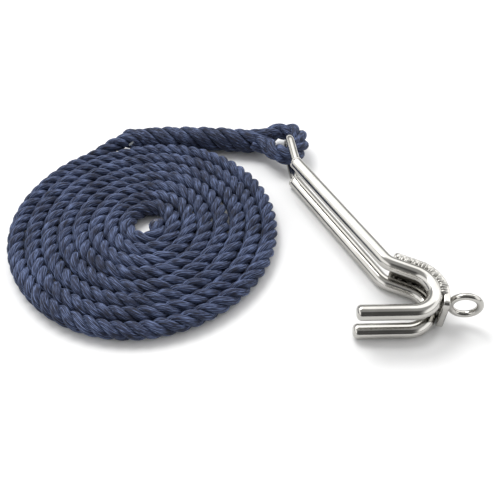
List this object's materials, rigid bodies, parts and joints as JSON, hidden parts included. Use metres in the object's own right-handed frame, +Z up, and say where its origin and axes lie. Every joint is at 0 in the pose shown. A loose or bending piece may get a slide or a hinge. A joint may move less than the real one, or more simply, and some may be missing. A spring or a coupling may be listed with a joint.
{
  "type": "anchor chain hook with rope",
  "caption": "Two-prong steel anchor chain hook with a slot for a chain link, a trip-line ring and a bow that hangs in the spliced eye of a coiled three-strand rope.",
  "frame": {"origin": "bottom centre of the steel hook's box, with the hook lying on its side on the ground", "axes": "+Z up, across the two rods; +Y along the hook, from its bend towards its bow; the prongs point along -X and the rope coil lies at -X"},
  "size_m": [0.3236, 0.2155, 0.03],
  "materials": {
    "polished_steel": "mirror polished stainless steel",
    "bow_steel": "mirror polished stainless steel",
    "plate_steel": "electropolished stainless steel",
    "weld_steel": "rippled weld bead, electropolished",
    "rope": "navy blue three-strand polyester",
    "strand_end": "cut strand ends, tucked",
    "seal": "melted rope end"
  },
  "bodies": {
    "rope": {"rope_coil": "rope", "rope_lead": "rope", "rope_splice": "rope", "rope_eye": "rope", "strand_tail_top": "strand_end", "strand_tail_near": "strand_end", "strand_tail_far": "strand_end", "rope_end_seal": "seal"},
    "hook": {"upper_rod": "polished_steel", "lower_rod": "polished_steel", "bow": "bow_steel", "back_plate": "plate_steel", "trip_ring": "polished_steel", "plate_weld_upper": "weld_steel", "plate_weld_lower": "weld_steel", "bow_weld_upper": "weld_steel", "bow_weld_lower": "weld_steel", "ring_weld": "weld_steel"}
  },
  "joints": [
    {"name": "hook_swing", "type": "hinge", "parent": "rope", "child": "hook", "pos_m": [-0.0551, 0.0916, 0.015], "axis": [0, 0, 1], "range_deg": [-20, 70]}
  ]
}
